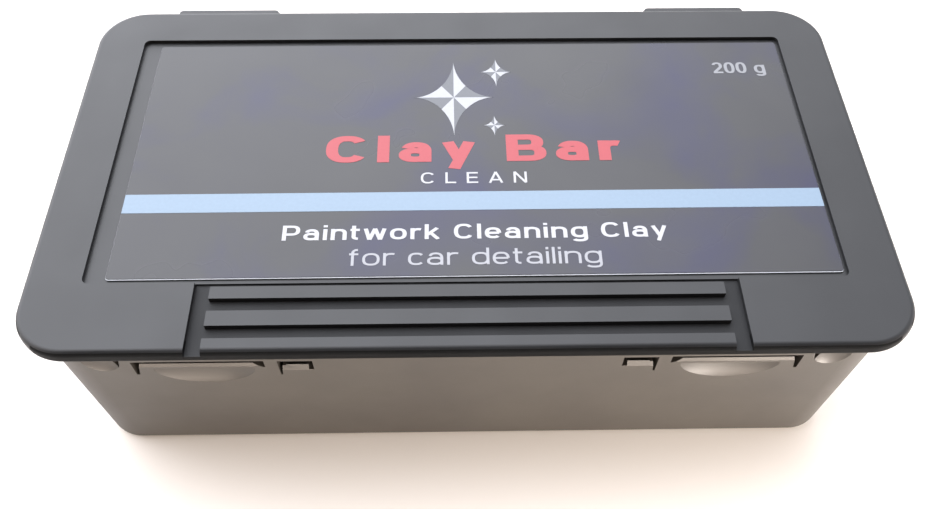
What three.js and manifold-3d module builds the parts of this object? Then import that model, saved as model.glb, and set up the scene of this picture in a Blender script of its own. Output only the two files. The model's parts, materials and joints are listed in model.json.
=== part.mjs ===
// Hinged polypropylene case for a detailing clay bar.
// Millimetres, +Z up. The origin is on the case's flat underside, below the middle of the lid.
// The front, with the two snap latches, faces -Y, and the hinges are at +Y.
import * as THREE from 'three';
import { mergeVertices } from 'three/addons/utils/BufferGeometryUtils.js';
import Module from 'manifold-3d';

const wasm = await Module();
wasm.setup();

// ---- driving dimensions ----
const GAP = 0.3; // clearance between pieces that meet

const LID_WIDTH = 120;
const LID_DEPTH = 65.8;
const LID_CORNER = 7.4;
const LID_TOP = 32.7; // overall closed height
const LID_THICKNESS = 2.2;
const LID_EDGE = 1.0; // rounding of the lid's rim, above and below
const LID_UNDERSIDE = LID_TOP - LID_THICKNESS;

const RECESS_DEPTH = 0.6; // the label field
const RECESS_FLOOR = LID_TOP - RECESS_DEPTH;
const RECESS_HALF_WIDTH = 52.2;
const RECESS_FRONT = -22.0;
const RECESS_BACK = 25.8;
const RECESS_CORNER = 0.9;

const GRIP_HALF_WIDTH = 34.7; // the raised finger ribs at the front of the lid
const GRIP_CHANNEL = 2.2; // the groove between the ribs and each corner pad
const GRIP_FLOOR = LID_TOP - 0.9;
const GRIP_RIBS = [[-24.6, -22.7], [-28.8, -26.5], [-34.0, -30.7]]; // each rib's front and back

const LABEL_WIDTH = 101;
const LABEL_DEPTH = 45.9;
const LABEL_CENTRE = [1.2, 1.75];
const LABEL_THICKNESS = 0.2;
const LABEL_TURN = 0.0024; // radians: it was stuck on a little crooked
const LABEL_LIFT = 0.1;

const WALL = 1.8;
const TRAY_OVERHANG = 2.0; // how far the lid's rim stands out past the tray's top edge
const TRAY_TOP = LID_UNDERSIDE - GAP;
const TRAY_DRAFT = 1.0; // how much each side leans out from the foot to the top
const TRAY_FOOT_EDGE = 1.2; // rounding of the tray's foot
const TRAY_WIDTH = LID_WIDTH - 2 * (TRAY_OVERHANG + TRAY_DRAFT); // at the foot
const TRAY_DEPTH = LID_DEPTH - 2 * (TRAY_OVERHANG + TRAY_DRAFT);
const TRAY_CORNER = 5.0;

const PLUG_DROP = 3.5; // the lid's locating ring reaches this far down into the tray
const PLUG_WALL = 1.2;
const PLUG_HALF_WIDTH = 55.75;
const PLUG_FRONT = -28.55;
const PLUG_BACK = 28.2; // further from the wall, so that the ring swings clear of it

const LATCH_INNER = 20.6; // each latch tongue spans these two distances from the middle
const LATCH_OUTER = 52.4;
const LATCH_THICKNESS = 1.2;
const LATCH_FOOT = 24.8;
const LATCH_FRONT = -28.5;
const BARB_REACH = 1.25;
const BARB_TOP = 26.7;
const BARB_HEIGHT = 0.8;
const BARB_LIP = 0.3;

const WINDOW_TOP = 27.0;
// each window's inner and outer end, its sill, and its relief notch's width and foot
const WINDOWS = [
  { inner: 21.2, outer: 26.0, sill: 25.7, notch: 0.7, foot: 24.3 },
  { inner: 27.8, outer: 45.75, sill: 25.8, notch: 1.1, foot: 24.1 },
  { inner: 47.2, outer: 52.0, sill: 25.2, notch: 0, foot: 0 },
];

const SCOOP_CENTRE = 36.2; // the thumb scoop under each long window
const SCOOP_HALF_WIDTH = 6.7;
const SCOOP_TOP = 25.3;
const SCOOP_DROP = 3.0;
const SCOOP_DEPTH = 1.05;
const SCOOP_BACKING = 1.2; // the wall bulges inward behind the scoop

const HINGE_AXIS = [33.5, 28.0]; // y and z
const HINGE_INNER = 31.4; // each hinge spans these two distances from the middle
const HINGE_OUTER = 48.4;
const KNUCKLE_RADIUS = 2.2;
const KNUCKLE_WIDTH = 5.2; // each of the lid's two knuckles
const PIN_RADIUS = 1.0;
const PIN_HEAD = [1.6, 0.8]; // radius and thickness
const BORE_RADIUS = 1.3;
const HINGE_TAB_BACK = 34.6;
const HINGE_TAB_THICKNESS = 0.8;
const STOP_HEEL = [1.2, 3.4]; // reaches this far behind and below the axis

const CLAY_SIZE = [102, 50, 21.2];
const CLAY_EDGE = 3.0;
const FILM_THICKNESS = 0.3;
const FILM_HALF_LENGTH = 47; // open at both ends, where the clay shows

// ---- solids ----
const moulding = { roughness: 0.55, metalness: 0 };
const CASE_GREY = { color: 0x5c5e62, ...moulding };

function solid(geometry) {
  const bare = geometry.index ? geometry.toNonIndexed() : geometry;
  bare.deleteAttribute('normal');
  bare.deleteAttribute('uv');
  const merged = mergeVertices(bare, 1e-4);
  return new wasm.Manifold(new wasm.Mesh({
    numProp: 3,
    vertProperties: Float32Array.from(merged.attributes.position.array),
    triVerts: Uint32Array.from(merged.index.array),
  }));
}

function geometryOf(manifold) {
  const mesh = manifold.getMesh();
  const geometry = new THREE.BufferGeometry();
  geometry.setAttribute('position', new THREE.BufferAttribute(mesh.vertProperties, 3));
  geometry.setIndex(new THREE.BufferAttribute(mesh.triVerts, 1));
  geometry.computeVertexNormals();
  return geometry;
}

function piece(name, geometry, look) {
  const mesh = new THREE.Mesh(geometry, new THREE.MeshStandardMaterial(look));
  mesh.name = name;
  return mesh;
}

function box([x0, y0, z0], [x1, y1, z1]) {
  return solid(new THREE.BoxGeometry(x1 - x0, y1 - y0, z1 - z0)
    .translate((x0 + x1) / 2, (y0 + y1) / 2, (z0 + z1) / 2));
}

function roundedRectangle(width, depth, radius) {
  const [x, y] = [width / 2, depth / 2];
  const shape = new THREE.Shape();
  shape.absarc(x - radius, -y + radius, radius, -Math.PI / 2, 0);
  shape.absarc(x - radius, y - radius, radius, 0, Math.PI / 2);
  shape.absarc(-x + radius, y - radius, radius, Math.PI / 2, Math.PI);
  shape.absarc(-x + radius, -y + radius, radius, Math.PI, 1.5 * Math.PI);
  shape.closePath();
  return shape;
}

// A straight slab of an outline between two heights.
function slab(shape, bottom, top) {
  const geometry = new THREE.ExtrudeGeometry(shape, {
    depth: top - bottom, bevelEnabled: false, curveSegments: 6,
  });
  return solid(geometry.translate(0, 0, bottom));
}

// A slab whose edges above and below are rounded; width and depth are its full size.
function roundedSlab(width, depth, corner, edge, bottom, top, steps = 3) {
  const shape = roundedRectangle(width - 2 * edge, depth - 2 * edge, corner - edge);
  const geometry = new THREE.ExtrudeGeometry(shape, {
    depth: top - bottom - 2 * edge, bevelEnabled: true, bevelThickness: edge,
    bevelSize: edge, bevelSegments: steps, curveSegments: 6,
  });
  return solid(geometry.translate(0, 0, bottom + edge));
}

// A slab that widens by draft on every side from its bottom to its top.
function draftedSlab(width, depth, corner, draft, bottom, top) {
  const height = top - bottom;
  const geometry = new THREE.ExtrudeGeometry(roundedRectangle(width, depth, corner), {
    depth: 1, bevelEnabled: true, bevelThickness: height, bevelSize: draft,
    bevelSegments: 1, curveSegments: 6,
  });
  const far = 100;
  return solid(geometry.translate(0, 0, top))
    .intersect(box([-far, -far, bottom - 1], [far, far, top]));
}

// A round bar along X between two distances from the middle.
function barAlongX(radius, x0, x1, sides = 20) {
  const geometry = new THREE.CylinderGeometry(radius, radius, x1 - x0, sides)
    .rotateZ(Math.PI / 2)
    .translate((x0 + x1) / 2, ...HINGE_AXIS);
  return solid(geometry);
}

function union(parts) {
  return parts.reduce((whole, part) => whole.add(part));
}

function onBothSides(makeSide) {
  const right = makeSide();
  return union([right, right.mirror([1, 0, 0])]);
}

// ---- tray ----
const trayFront = (z) => -(TRAY_DEPTH / 2) - TRAY_DRAFT * z / TRAY_TOP;

function trayLug() {
  const [y, z] = HINGE_AXIS;
  const inner = HINGE_INNER + KNUCKLE_WIDTH + GAP;
  const outer = HINGE_OUTER - KNUCKLE_WIDTH - GAP;
  const wallFace = -trayFront(z) - WALL / 2;
  const [behind, below] = STOP_HEEL;
  return barAlongX(KNUCKLE_RADIUS, inner, outer)
    .add(box([inner, wallFace, z - below], [outer, y + behind, z - 0.8]));
}

function trayWindows() {
  const [front, back] = [-LID_DEPTH / 2, LATCH_FRONT + 0.1];
  return union(WINDOWS.flatMap(({ inner, outer, sill, notch, foot }) => {
    const opening = box([inner, front, sill], [outer, back, WINDOW_TOP]);
    return notch ? [opening, box([outer - notch, front, foot], [outer, back, WINDOW_TOP])] : [opening];
  }));
}

function scoop(grow) {
  const wall = trayFront(SCOOP_TOP);
  const bowl = new THREE.SphereGeometry(1, 32, 16)
    .scale(SCOOP_HALF_WIDTH + grow, SCOOP_DEPTH + grow, SCOOP_DROP + grow)
    .translate(SCOOP_CENTRE, wall, SCOOP_TOP);
  const reach = SCOOP_HALF_WIDTH + grow + 1;
  return solid(bowl).intersect(box(
    [SCOOP_CENTRE - reach, wall - 5, SCOOP_TOP - SCOOP_DROP - grow - 1],
    [SCOOP_CENTRE + reach, wall + 5, SCOOP_TOP],
  ));
}

function tray() {
  const footHeight = 2 * TRAY_FOOT_EDGE + 0.4;
  const foot = roundedSlab(TRAY_WIDTH, TRAY_DEPTH, TRAY_CORNER, TRAY_FOOT_EDGE, 0, footHeight);
  const body = draftedSlab(TRAY_WIDTH, TRAY_DEPTH, TRAY_CORNER, TRAY_DRAFT, TRAY_FOOT_EDGE, TRAY_TOP);
  const cavity = draftedSlab(
    TRAY_WIDTH - 2 * WALL, TRAY_DEPTH - 2 * WALL, TRAY_CORNER - WALL, TRAY_DRAFT, WALL, TRAY_TOP + 0.01,
  );
  const behindScoop = box([0, trayFront(0) + GAP, 0], [LID_WIDTH / 2, 0, LATCH_FOOT - 2 * GAP]);
  const backing = onBothSides(() => scoop(SCOOP_BACKING).intersect(behindScoop));
  return foot.add(body).subtract(cavity)
    .add(backing)
    .add(onBothSides(trayLug))
    .subtract(onBothSides(trayWindows))
    .subtract(onBothSides(() => scoop(0)))
    .subtract(onBothSides(() => barAlongX(BORE_RADIUS, HINGE_INNER, HINGE_OUTER)));
}

// ---- lid ----
function lidRecess() {
  const width = 2 * RECESS_HALF_WIDTH;
  const depth = RECESS_BACK - RECESS_FRONT;
  const label = slab(roundedRectangle(width, depth, RECESS_CORNER), RECESS_FLOOR, LID_TOP + 1)
    .translate([0, (RECESS_BACK + RECESS_FRONT) / 2, 0]);
  const half = GRIP_HALF_WIDTH + GRIP_CHANNEL;
  const grip = box([-half, -LID_DEPTH, GRIP_FLOOR], [half, RECESS_FRONT + 0.1, LID_TOP + 1]);
  const ribs = union(GRIP_RIBS.map(([front, back]) => box(
    [-GRIP_HALF_WIDTH, front, GRIP_FLOOR - 1], [GRIP_HALF_WIDTH, back, LID_TOP + 2],
  )));
  return label.add(grip).subtract(ribs);
}

function plugRing() {
  const depth = PLUG_BACK - PLUG_FRONT;
  const [bottom, top] = [LID_UNDERSIDE - PLUG_DROP, LID_UNDERSIDE + 0.4];
  const corner = TRAY_CORNER - WALL + TRAY_DRAFT;
  const outer = slab(roundedRectangle(2 * PLUG_HALF_WIDTH, depth, corner), bottom, top);
  const inner = slab(
    roundedRectangle(2 * (PLUG_HALF_WIDTH - PLUG_WALL), depth - 2 * PLUG_WALL, corner - PLUG_WALL),
    bottom - 1, top + 1,
  );
  const forTongue = () => box(
    [LATCH_INNER - 2 * GAP, PLUG_FRONT - 1, bottom - 1],
    [LATCH_OUTER + 2 * GAP, PLUG_FRONT + PLUG_WALL + 1, LID_UNDERSIDE],
  );
  return outer.subtract(inner).translate([0, (PLUG_BACK + PLUG_FRONT) / 2, 0])
    .subtract(onBothSides(forTongue));
}

function lidHinge() {
  const [y, z] = HINGE_AXIS;
  const tabTop = LID_UNDERSIDE + HINGE_TAB_THICKNESS;
  const tab = box([HINGE_INNER, LID_DEPTH / 2 - 3, LID_UNDERSIDE], [HINGE_OUTER, HINGE_TAB_BACK, tabTop]);
  const knuckle = (x) => barAlongX(KNUCKLE_RADIUS, x, x + KNUCKLE_WIDTH)
    .add(box([x, y - 1.5, z], [x + KNUCKLE_WIDTH, y + 1.5, LID_UNDERSIDE + 0.5]));
  return union([tab, knuckle(HINGE_INNER), knuckle(HINGE_OUTER - KNUCKLE_WIDTH)]);
}

function lid() {
  return roundedSlab(LID_WIDTH, LID_DEPTH, LID_CORNER, LID_EDGE, LID_UNDERSIDE, LID_TOP)
    .subtract(lidRecess())
    .add(plugRing())
    .add(onBothSides(lidHinge))
    .subtract(onBothSides(() => barAlongX(BORE_RADIUS, HINGE_INNER - 1, HINGE_OUTER + 1)));
}

// ---- latch tongues, each with a barb for every window ----
function latchTongue() {
  const tongue = box(
    [LATCH_INNER, LATCH_FRONT, LATCH_FOOT],
    [LATCH_OUTER, LATCH_FRONT + LATCH_THICKNESS, TRAY_TOP],
  );
  const ramp = new THREE.Shape([
    new THREE.Vector2(LATCH_FRONT + LATCH_THICKNESS / 2, BARB_TOP),
    new THREE.Vector2(LATCH_FRONT - BARB_REACH, BARB_TOP),
    new THREE.Vector2(LATCH_FRONT - BARB_REACH, BARB_TOP - BARB_LIP),
    new THREE.Vector2(LATCH_FRONT + LATCH_THICKNESS / 2, BARB_TOP - BARB_HEIGHT),
  ]);
  const barbs = WINDOWS.map(({ inner, outer, notch }) => {
    const [from, to] = [inner + 3 * GAP, outer - Math.max(notch, 3 * GAP)];
    const geometry = new THREE.ExtrudeGeometry(ramp, { depth: to - from, bevelEnabled: false });
    geometry.applyMatrix4(new THREE.Matrix4().makeBasis(
      new THREE.Vector3(0, 1, 0), new THREE.Vector3(0, 0, 1), new THREE.Vector3(1, 0, 0),
    ));
    return solid(geometry.translate(from, 0, 0));
  });
  return union([tongue, ...barbs]);
}

// ---- hinge pin ----
function hingePin() {
  const [headRadius, headThickness] = PIN_HEAD;
  const end = HINGE_OUTER + GAP;
  return barAlongX(PIN_RADIUS, HINGE_INNER, end + 0.1)
    .add(barAlongX(headRadius, end, end + headThickness));
}

// ---- contents ----
const CLAY_BOTTOM = WALL + 2 * GAP + FILM_THICKNESS;

function clayBar() {
  const [width, depth, height] = CLAY_SIZE;
  return roundedSlab(width, depth, CLAY_EDGE + 1, CLAY_EDGE, CLAY_BOTTOM, CLAY_BOTTOM + height, 4);
}

// A sleeve of film around the bar.
function clayFilm() {
  const [, depth, height] = CLAY_SIZE;
  const section = (grow) => roundedRectangle(depth + 2 * grow, height + 2 * grow, CLAY_EDGE + grow);
  const shape = section(GAP + FILM_THICKNESS);
  shape.holes.push(new THREE.Path(section(GAP).getPoints(6).reverse()));
  const geometry = new THREE.ExtrudeGeometry(shape, {
    depth: 2 * FILM_HALF_LENGTH, bevelEnabled: false, curveSegments: 6,
  });
  geometry.applyMatrix4(new THREE.Matrix4().makeBasis(
    new THREE.Vector3(0, 1, 0), new THREE.Vector3(0, 0, 1), new THREE.Vector3(1, 0, 0),
  ));
  return geometry.translate(-FILM_HALF_LENGTH, 0, CLAY_BOTTOM + height / 2);
}

// ---- the case ----
const group = new THREE.Group();

group.add(piece('base_tray', geometryOf(tray()), CASE_GREY));

const upper = new THREE.Group();
upper.add(piece('lid_shell', geometryOf(lid()), CASE_GREY));
const labelPiece = piece('lid_label', new THREE.BoxGeometry(LABEL_WIDTH, LABEL_DEPTH, LABEL_THICKNESS), {
  color: 0x4d4e57, roughness: 0.3, metalness: 0,
});
labelPiece.position.set(...LABEL_CENTRE, RECESS_FLOOR + LABEL_LIFT + LABEL_THICKNESS / 2);
labelPiece.rotation.z = LABEL_TURN;
upper.add(labelPiece);
group.add(upper);

for (const [side, sign] of [['left', -1], ['right', 1]]) {
  const facing = (shape) => geometryOf(sign > 0 ? shape : shape.mirror([1, 0, 0]));
  upper.add(piece(`latch_tongue_${side}`, facing(latchTongue()), CASE_GREY));
  group.add(piece(`hinge_pin_${side}`, facing(hingePin()), { color: 0x3a3b3e, ...moulding }));
}

group.add(piece('clay_bar', geometryOf(clayBar()), { color: 0x2f6db5, roughness: 0.75, metalness: 0 }));
group.add(piece('clay_film', clayFilm(), {
  color: 0xdfe6ea, roughness: 0.2, metalness: 0, transparent: true, opacity: 0.35,
}));

export default group;
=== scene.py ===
import json
import math
from collections import namedtuple

import bmesh
import bpy
from mathutils import Matrix, Vector, noise


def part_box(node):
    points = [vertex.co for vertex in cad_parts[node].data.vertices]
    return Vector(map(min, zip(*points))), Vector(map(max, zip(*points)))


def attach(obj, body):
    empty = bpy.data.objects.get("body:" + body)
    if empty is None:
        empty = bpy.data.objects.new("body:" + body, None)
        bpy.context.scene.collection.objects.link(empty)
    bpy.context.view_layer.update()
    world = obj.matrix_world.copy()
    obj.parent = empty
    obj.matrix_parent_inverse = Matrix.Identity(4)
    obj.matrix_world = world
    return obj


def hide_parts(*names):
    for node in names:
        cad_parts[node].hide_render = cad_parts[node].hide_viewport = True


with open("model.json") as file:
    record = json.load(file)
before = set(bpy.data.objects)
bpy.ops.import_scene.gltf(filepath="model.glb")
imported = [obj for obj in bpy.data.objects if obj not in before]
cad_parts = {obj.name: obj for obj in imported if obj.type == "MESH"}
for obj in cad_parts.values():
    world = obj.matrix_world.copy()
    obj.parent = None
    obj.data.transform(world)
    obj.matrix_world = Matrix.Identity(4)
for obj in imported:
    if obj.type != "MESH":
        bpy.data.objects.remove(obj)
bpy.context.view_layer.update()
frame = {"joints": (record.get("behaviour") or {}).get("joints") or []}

MM = 0.001
SAME = 1e-6  # metres: places nearer to each other than this are one place
SHARP_TURN = 42  # degrees: edges that turn further than this are rounded

# ---- places and sizes, from the frame and a few driving dimensions, in metres ----
LID_LOW, LID_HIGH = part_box("lid_shell")
TRAY_LOW, TRAY_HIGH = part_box("base_tray")
CLAY_LOW, CLAY_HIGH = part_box("clay_bar")
FILM_LOW, FILM_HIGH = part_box("clay_film")
LABEL_LOW, LABEL_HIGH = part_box("lid_label")
TONGUE_LOW, TONGUE_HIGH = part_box("latch_tongue_right")
PIN_LOW, PIN_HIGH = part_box("hinge_pin_right")
JOINTS = {joint["name"]: joint for joint in frame["joints"]}
_, HINGE_Y, HINGE_Z = JOINTS["lid_hinge"]["pos_m"]
_, FLEX_Y, FLEX_Z = JOINTS["latch_right_flex"]["pos_m"]

GAP = 0.3 * MM
HALF_WIDTH = LID_HIGH.x
HALF_DEPTH = -LID_LOW.y
LID_TOP = LID_HIGH.z
LID_UNDERSIDE = TRAY_HIGH.z + GAP
LID_CORNER = 7.4 * MM
RIM_ROUND = 0.9 * MM
RIM_UNDER_ROUND = 0.5 * MM

RECESS_FLOOR = LID_TOP - 0.6 * MM
GRIP_FLOOR = LID_TOP - 0.9 * MM
RECESS_HALF_WIDTH = 52.2 * MM
RECESS_FRONT = -22.0 * MM
RECESS_BACK = 25.8 * MM
RECESS_CORNER = 0.9 * MM

GRIP_HALF_WIDTH = 34.7 * MM
GRIP_CHANNEL = 2.2 * MM
GRIP_RIBS = [(-24.6 * MM, -22.7 * MM), (-28.8 * MM, -26.5 * MM)]
FRONT_RIB_BACK = -30.7 * MM

WALL = 1.8 * MM
TRAY_TOP = TRAY_HIGH.z
TRAY_HALF_WIDTH = TRAY_HIGH.x
TRAY_HALF_DEPTH = -TRAY_LOW.y
TRAY_DRAFT = 1.0 * MM
TRAY_CORNER = 6.0 * MM
TRAY_FOOT_ROUND = 1.3 * MM

PLUG_HALF_WIDTH = 55.75 * MM
PLUG_FRONT = -28.55 * MM
PLUG_BACK = 28.2 * MM
PLUG_WALL = 1.2 * MM
PLUG_FOOT = LID_UNDERSIDE - 3.5 * MM
PLUG_CORNER = 4.2 * MM

# the cutters for the front wall reach from before it to behind it
CUT_FRONT = -TRAY_HALF_DEPTH - 1 * MM
CUT_BACK = -TRAY_HALF_DEPTH + 3 * MM
CUT_STEP = 0.05 * MM  # keeps the tops of cuts that meet from lying in one plane
# a window: its ends, its top, the sill at the wall's face, and the crest that stands depth behind the face
Window = namedtuple("Window", "inner outer top sill crest depth")
LONG_WINDOW = Window(27.8 * MM, 45.75 * MM, 26.55 * MM, 25.05 * MM, 25.5 * MM, 0.35 * MM)
SMALL_WINDOW = Window(21.2 * MM, 26.0 * MM, 26.4 * MM, 23.8 * MM, 24.55 * MM, 0.5 * MM)
WINDOW_FLOOR_DROP = 0.15 * MM
WINDOW_OVERLAP = 0.02 * MM
# cuts right through the wall at the windows' ends: inner end, outer end, foot
END_CUTS = [
    (21.2 * MM, 21.95 * MM, 23.85 * MM),
    (25.05 * MM, 26.0 * MM, 24.4 * MM),
    (45.0 * MM, 45.75 * MM, 24.6 * MM),
]
WEDGE_CUT = (27.8 * MM, 29.5 * MM, 24.7 * MM)
NOTCHES = [(25.3 * MM, 26.0 * MM, 22.4 * MM), (44.65 * MM, 45.75 * MM, 22.9 * MM)]
NOTCH_TAPER = 0.6  # of a notch's width, lost at its foot
# the small dish at the outer end, with a slot over it and a dark wedge at its inner end
LENS_CENTRE = 49.6 * MM
LENS_HALF_WIDTH = 2.6 * MM
LENS_INNER = LENS_CENTRE - LENS_HALF_WIDTH
LENS_OUTER = LENS_CENTRE + LENS_HALF_WIDTH
LENS_TOP = 27.0 * MM
LENS_DROP = 3.1 * MM
LENS_DEPTH = 0.85 * MM
LENS_SLOT = 0.45 * MM
LENS_SLOT_ENDS = (LENS_INNER + 0.25 * MM, LENS_OUTER - 0.5 * MM)
LENS_WEDGE_ENDS = (LENS_INNER + 0.2 * MM, LENS_INNER + 2 * MM)
LENS_WEDGE_DROP = 1.9 * MM
LENS_WEDGE_RISE = 1.5 * MM
LENS_WEDGE_LEAN = 0.35 * MM

# the thumb scoops: first the bulge inside the wall, then the dish outside and its soft lip
SCOOP_CENTRE = 36.2 * MM
SCOOP_HALF_WIDTH = 6.7 * MM
SCOOP_TOP = 25.3 * MM
SCOOP_DROP = 3.0 * MM
SCOOP_DEPTH = 1.05 * MM
SCOOP_BACKING = 1.2 * MM
SCOOP_LIP_TOP = 24.6 * MM
SCOOP_LIP_DEPTH = 1.65 * MM
SCOOP_LIP_HALF_WIDTH = 7.0 * MM
SCOOP_LIP_DROP = 4.4 * MM

HINGE_INNER = 31.4 * MM
HINGE_OUTER = 48.4 * MM
KNUCKLE_RADIUS = 2.2 * MM
KNUCKLE_WIDTH = 5.2 * MM
BORE_RADIUS = 1.15 * MM
TAB_BACK = 34.95 * MM
TAB_TOP = LID_UNDERSIDE + 0.8 * MM

BARBS = [(22.1 * MM, 25.1 * MM), (28.7 * MM, 44.65 * MM), (48.1 * MM, 51.1 * MM)]
BARB_FOOT = 25.45 * MM
BARB_TOP = 26.25 * MM
BARB_SLOPE = 0.5 * MM
TONGUE_FACE = -28.5 * MM
TONGUE_REAR = -27.3 * MM

PIN_RADIUS = 1.0 * MM
PIN_HEAD_RADIUS = 1.6 * MM
PIN_HEAD_THICKNESS = 0.8 * MM

LABEL_MIDDLE = (LABEL_LOW + LABEL_HIGH) / 2
LABEL_HALF = Vector((50.5, 22.95)) * MM
LABEL_TURN = 0.0024  # radians
LABEL_STOCK = 0.13 * MM
LABEL_OVERLAP = 0.02 * MM
# the strip of white stock that shows around the printed film, at its near and far corner
NEAR_STRIP = Vector((0.04, 0.13, 0)) * MM
FAR_STRIP = Vector((0.04, 0.02, 0)) * MM
PRINT_SINK = 0.03 * MM
PRINT_TOP = 0.03 * MM
PRINT_LAYERS = 5
PRINT_LAYER = 0.0012 * MM  # strokes that cross lie this far apart, so that they share no plane
PRINT_MERGE = 0.0005 * MM
SMALL_LETTER = 0.74  # of a capital's height
OVAL_SQUARENESS = 2.5  # 2 is a true oval
SPARKLE_HOLLOW = 3.4  # 1 is straight sides

FOLD_ALONG = 9 * MM
FOLD_ACROSS = 11 * MM

# the camera, over the front of the case
CAMERA_PLACE = Vector((-2.13, -90.87, 136.70)) * MM
CAMERA_PITCH = 0.9583  # radians down from level
CAMERA_YAW = 0.0256
CAMERA_ROLL = 0.0115
CAMERA_LENS = 35.58  # mm, for a 36 mm sensor

ROOM_LIGHT = 1.5
WINDOW_LIGHT = 5.2
WINDOW_WAY = Vector((-0.42, 0.55, 0.72)).normalized()
WINDOW_GLOW = (0.45, 0.95)  # the cosines to its middle where the window's glow starts and is full
MAKER_WAY = Vector((0.0, -0.77, 0.64)).normalized()
MAKER_EDGE = (0.5, 0.82)
MAKER_DARKNESS = 0.96
MAKER_FOOT = (0.06, 0.3)  # the heights where the dark maker starts and is full
FRONT_TO_BACK = (-0.9, 0.3)


# ---- modelling by hand ----
def start_alone(piece):
    """Selects one object and nothing else."""
    bpy.ops.object.select_all(action="DESELECT")
    piece.select_set(True)
    bpy.context.view_layer.objects.active = piece


def settle(piece):
    """Puts the object's place into its mesh."""
    start_alone(piece)
    bpy.ops.object.transform_apply(location=True, rotation=True, scale=True)
    return piece


def box_between(name, low, high):
    """A box from its lowest to its highest corner."""
    bpy.ops.object.select_all(action="DESELECT")
    low, high = Vector(low), Vector(high)
    bpy.ops.mesh.primitive_cube_add(size=1, location=(low + high) / 2)
    made = bpy.context.object
    made.name = name
    made.scale = high - low
    return settle(made)


def rod_along_x(name, radius, x0, x1, y, z, sides=48):
    """A round rod between two places along X."""
    bpy.ops.object.select_all(action="DESELECT")
    bpy.ops.mesh.primitive_cylinder_add(
        vertices=sides, radius=radius, depth=x1 - x0, location=((x0 + x1) / 2, y, z),
        rotation=(0, math.pi / 2, 0),
    )
    made = bpy.context.object
    made.name = name
    return settle(made)


def select_parts(piece, kind, chosen):
    """Enters edit mode with only the chosen edges, faces or vertices selected."""
    start_alone(piece)
    bpy.ops.object.mode_set(mode="EDIT")
    bpy.ops.mesh.select_mode(type=kind)
    bpy.ops.mesh.select_all(action="DESELECT")
    mesh = bmesh.from_edit_mesh(piece.data)
    for part in {"EDGE": mesh.edges, "FACE": mesh.faces, "VERT": mesh.verts}[kind]:
        if chosen(part):
            part.select_set(True)
    bmesh.update_edit_mesh(piece.data)


def leave_edit():
    bpy.ops.object.mode_set(mode="OBJECT")


def upright(edge):
    a, b = (v.co for v in edge.verts)
    return (a.xy - b.xy).length < SAME and abs(a.z - b.z) > SAME


def at_height(z):
    return lambda part: all(abs(v.co.z - z) < SAME for v in part.verts)


def at_side(x):
    return lambda part: all(abs(v.co.x - x) < SAME for v in part.verts)


def bevel_edges(piece, chosen, width, segments):
    select_parts(piece, "EDGE", chosen)
    bpy.ops.mesh.bevel(offset=width, segments=segments, profile=0.5, affect="EDGES")
    leave_edit()


def move_corners(piece, chosen, by):
    select_parts(piece, "VERT", chosen)
    bpy.ops.transform.translate(value=by)
    leave_edit()


def rounded_box(name, low, high, corner, segments):
    """A box with its four upright edges rounded."""
    made = box_between(name, low, high)
    bevel_edges(made, upright, corner, segments)
    return made


def apply_modifier(piece, kind, **settings):
    start_alone(piece)
    modifier = piece.modifiers.new(kind.lower(), kind)
    for key, value in settings.items():
        setattr(modifier, key, value)
    bpy.ops.object.modifier_apply(modifier=modifier.name)


def cut_away(piece, cutter):
    apply_modifier(piece, "BOOLEAN", operation="DIFFERENCE", solver="EXACT", object=cutter)
    bpy.data.objects.remove(cutter)


def weld_on(piece, other):
    apply_modifier(piece, "BOOLEAN", operation="UNION", solver="EXACT", object=other)
    bpy.data.objects.remove(other)


def mirrored(piece):
    """A copy of the piece on the other side of the middle."""
    copy = piece.copy()
    copy.data = piece.data.copy()
    bpy.context.scene.collection.objects.link(copy)
    copy.scale.x = -1
    settle(copy)
    select_parts(copy, "FACE", lambda face: True)
    bpy.ops.mesh.normals_make_consistent(inside=False)
    leave_edit()
    return copy


def on_both_sides(action, piece, shape):
    """Cuts or welds a shape and its mirror image."""
    other = mirrored(shape)
    action(piece, shape)
    action(piece, other)


def soften(piece, width, segments=2):
    """Rounds the edges that a mould would leave slightly rounded."""
    apply_modifier(
        piece, "BEVEL", width=width, segments=segments, limit_method="ANGLE",
        angle_limit=math.radians(SHARP_TURN), use_clamp_overlap=True,
    )


def finish_piece(piece, material, body, slot, *replaced, sharp=34):
    """Smooths and paints a piece, and tells the frame what it rides on and stands for."""
    start_alone(piece)
    bpy.ops.object.shade_smooth_by_angle(angle=math.radians(sharp))
    apply_modifier(piece, "WEIGHTED_NORMAL", keep_sharp=True, weight=60)
    piece.data.materials.clear()
    piece.data.materials.append(material)
    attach(piece, body)
    if replaced:
        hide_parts(*replaced)


# ---- materials ----
def colour(hex_code):
    """An sRGB hex colour as linear numbers."""
    parts = [int(hex_code[i:i + 2], 16) / 255 for i in (1, 3, 5)]
    linear = [p / 12.92 if p <= 0.04045 else ((p + 0.055) / 1.055) ** 2.4 for p in parts]
    return (*linear, 1)


def add_node(tree, kind, inputs=None, **settings):
    """Adds a node with its settings, and fills or links its inputs."""
    made = tree.nodes.new(kind)
    for key, value in settings.items():
        setattr(made, key, value)
    for key, value in (inputs or {}).items():
        if isinstance(value, bpy.types.NodeSocket):
            tree.links.new(value, made.inputs[key])
        else:
            made.inputs[key].default_value = value
    return made


def per_metre(millimetres):
    """A noise scale for features of that size, on Object coordinates in metres."""
    return 1 / (millimetres * MM)


def start_material(name):
    """A new material with its shader, and the place on the object in metres."""
    material = bpy.data.materials.new(name)
    material.use_nodes = True
    tree = material.node_tree
    tree.nodes.clear()
    shader = add_node(tree, "ShaderNodeBsdfPrincipled")
    add_node(tree, "ShaderNodeOutputMaterial", {"Surface": shader.outputs["BSDF"]})
    place = add_node(tree, "ShaderNodeTexCoord").outputs["Object"]
    return material, tree, shader, place


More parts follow.
